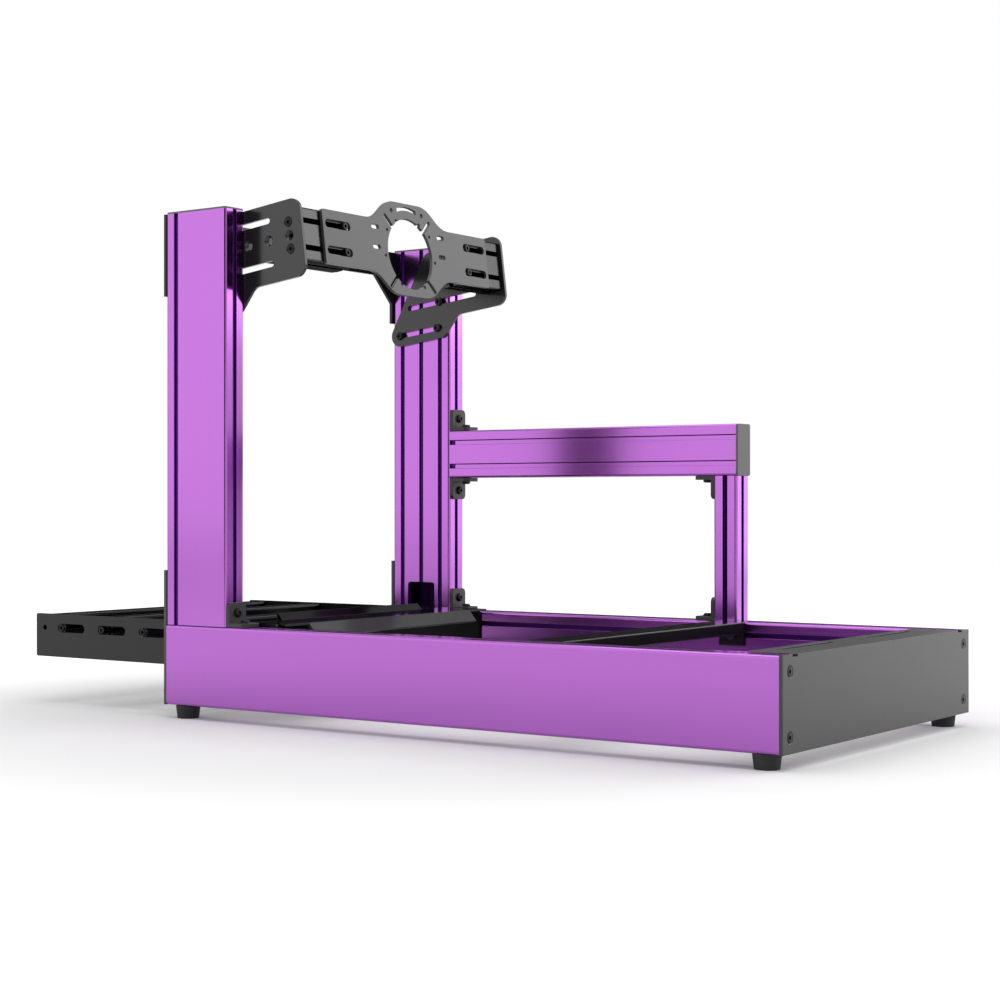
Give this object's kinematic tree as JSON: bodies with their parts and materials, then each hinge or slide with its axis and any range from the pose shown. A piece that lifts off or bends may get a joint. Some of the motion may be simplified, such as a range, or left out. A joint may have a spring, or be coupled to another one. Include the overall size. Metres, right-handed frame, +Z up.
{
  "type": "sim racing cockpit frame",
  "caption": "Open sim racing cockpit frame of slotted aluminium beams, with a tilted wheel mount between two uprights, a shifter arm on a post and a pedal deck out in front.",
  "frame": {"origin": "on the floor, under the middle of the whole frame", "axes": "+X to the driver's right, +Y forward to the pedals, +Z up"},
  "size_m": [0.59, 1.356, 0.7878],
  "materials": {
    "purple_anodised": "satin purple anodised extrusion with fine lines along its length",
    "black_anodised": "satin black anodised extrusion",
    "black_coated": "satin black powder coat that looks dark grey where it faces the light",
    "cast_bracket": "black powder-coated die-cast angle",
    "grey_cap": "grey moulded end cap",
    "foot_rubber": "black rubber"
  },
  "bodies": {
    "root": {"arm_lower_bracket": "cast_bracket", "arm_upper_bracket": "cast_bracket", "front_cross_plate": "black_coated", "front_left_foot": "foot_rubber", "front_pedal_bar": "black_anodised", "front_plate": "black_coated", "front_right_foot": "foot_rubber", "heel_plate": "black_coated", "left_pedal_side": "black_coated", "left_rail": "purple_anodised", "left_upright": "purple_anodised", "left_upright_bracket": "cast_bracket", "left_upright_cap": "grey_cap", "left_wheel_beam": "black_anodised", "left_wheel_bracket": "black_coated", "middle_pedal_bar": "black_anodised", "post_lower_bracket": "cast_bracket", "post_upper_bracket": "cast_bracket", "rear_left_foot": "foot_rubber", "rear_pedal_bar": "black_anodised", "rear_plate": "black_coated", "rear_right_foot": "foot_rubber", "right_pedal_side": "black_coated", "right_rail": "purple_anodised", "right_upright": "purple_anodised", "right_upright_bracket": "cast_bracket", "right_upright_cap": "grey_cap", "right_wheel_beam": "black_anodised", "right_wheel_bracket": "black_coated", "seat_crossbar": "black_coated", "shifter_arm": "purple_anodised", "shifter_arm_cap": "grey_cap", "shifter_arm_lower_cover": "purple_anodised", "shifter_arm_upper_cover": "purple_anodised", "shifter_post": "purple_anodised", "wheel_mount_plate": "black_coated"}
  },
  "joints": []
}
